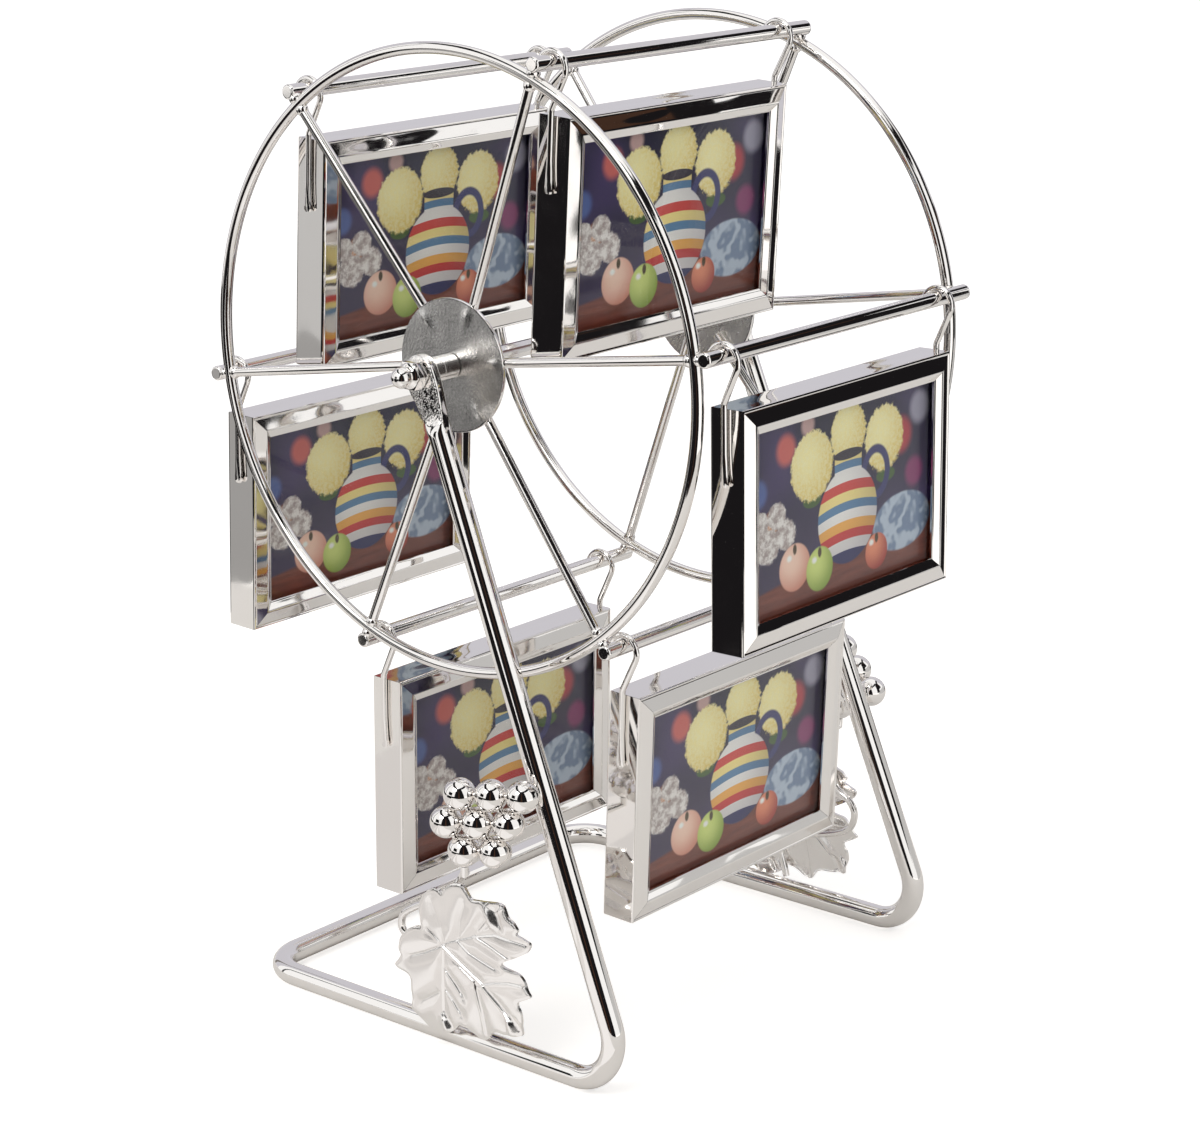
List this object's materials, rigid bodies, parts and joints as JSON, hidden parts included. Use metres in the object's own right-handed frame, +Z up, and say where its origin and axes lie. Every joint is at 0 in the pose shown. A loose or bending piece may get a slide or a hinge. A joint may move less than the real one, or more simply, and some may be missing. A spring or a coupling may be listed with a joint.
{
  "type": "rotating photo frame",
  "caption": "Tabletop picture wheel: double-sided metal photo frames hang by wire hooks from a plated wire wheel on a bent wire stand with grape and vine leaf ornaments.",
  "frame": {"origin": "on the table, at the middle of the footprint, under the middle of the axle to within a millimetre", "axes": "+Z up from the table; +X along the wheel's axle; -Y towards the front, where the stand's legs slope down and the front pictures face"},
  "size_m": [0.1642, 0.1734, 0.2491],
  "materials": {
    "nickel": "bright polished nickel plating",
    "satin_nickel": "satin nickel plating",
    "clear_pane": "clear, glossy",
    "picture_card": "printed card, semi-matt"
  },
  "bodies": {
    "stand": {"stand_wire": "nickel", "axle_rod": "satin_nickel", "cap_nut_left": "nickel", "cap_nut_right": "nickel", "sleeve_left": "nickel", "sleeve_right": "nickel", "grapes_left": "nickel", "grapes_right": "nickel", "leaf_left": "nickel", "leaf_right": "nickel", "stem_left": "nickel", "stem_right": "nickel"},
    "wheel": {"ring_left": "nickel", "ring_right": "nickel", "hub_left": "satin_nickel", "hub_right": "satin_nickel", "bar_1": "nickel", "bar_2": "nickel", "bar_3": "nickel", "bar_4": "nickel", "bar_5": "nickel", "bar_6": "nickel"},
    "frame_1": {"frame_1_casing": "nickel", "frame_1_front_pane": "clear_pane", "frame_1_back_pane": "clear_pane", "frame_1_insert": "picture_card", "frame_1_left_hook": "nickel", "frame_1_right_hook": "nickel"},
    "frame_2": {"frame_2_casing": "nickel", "frame_2_front_pane": "clear_pane", "frame_2_back_pane": "clear_pane", "frame_2_insert": "picture_card", "frame_2_left_hook": "nickel", "frame_2_right_hook": "nickel"},
    "frame_3": {"frame_3_casing": "nickel", "frame_3_front_pane": "clear_pane", "frame_3_back_pane": "clear_pane", "frame_3_insert": "picture_card", "frame_3_left_hook": "nickel", "frame_3_right_hook": "nickel"},
    "frame_4": {"frame_4_casing": "nickel", "frame_4_front_pane": "clear_pane", "frame_4_back_pane": "clear_pane", "frame_4_insert": "picture_card", "frame_4_left_hook": "nickel", "frame_4_right_hook": "nickel"},
    "frame_5": {"frame_5_casing": "nickel", "frame_5_front_pane": "clear_pane", "frame_5_back_pane": "clear_pane", "frame_5_insert": "picture_card", "frame_5_left_hook": "nickel", "frame_5_right_hook": "nickel"},
    "frame_6": {"frame_6_casing": "nickel", "frame_6_front_pane": "clear_pane", "frame_6_back_pane": "clear_pane", "frame_6_insert": "picture_card", "frame_6_left_hook": "nickel", "frame_6_right_hook": "nickel"}
  },
  "joints": [
    {"name": "wheel_spin", "type": "hinge", "parent": "stand", "child": "wheel", "pos_m": [0, 0, 0.1705], "axis": [1, 0, 0], "continuous": true},
    {"name": "hang_1", "type": "hinge", "parent": "wheel", "child": "frame_1", "pos_m": [0, -0.07924, 0.18287], "axis": [1, 0, 0], "continuous": true},
    {"name": "hang_2", "type": "hinge", "parent": "wheel", "child": "frame_2", "pos_m": [0, -0.02891, 0.24531], "axis": [1, 0, 0], "continuous": true},
    {"name": "hang_3", "type": "hinge", "parent": "wheel", "child": "frame_3", "pos_m": [0, 0.05033, 0.23294], "axis": [1, 0, 0], "continuous": true},
    {"name": "hang_4", "type": "hinge", "parent": "wheel", "child": "frame_4", "pos_m": [0, 0.07924, 0.15813], "axis": [1, 0, 0], "continuous": true},
    {"name": "hang_5", "type": "hinge", "parent": "wheel", "child": "frame_5", "pos_m": [0, 0.02891, 0.09569], "axis": [1, 0, 0], "continuous": true},
    {"name": "hang_6", "type": "hinge", "parent": "wheel", "child": "frame_6", "pos_m": [0, -0.05033, 0.10806], "axis": [1, 0, 0], "continuous": true}
  ],
  "couplings": [
    {"joint": "hang_1", "follows": "wheel_spin", "ratio": -1},
    {"joint": "hang_2", "follows": "wheel_spin", "ratio": -1},
    {"joint": "hang_3", "follows": "wheel_spin", "ratio": -1},
    {"joint": "hang_4", "follows": "wheel_spin", "ratio": -1},
    {"joint": "hang_5", "follows": "wheel_spin", "ratio": -1},
    {"joint": "hang_6", "follows": "wheel_spin", "ratio": -1}
  ]
}
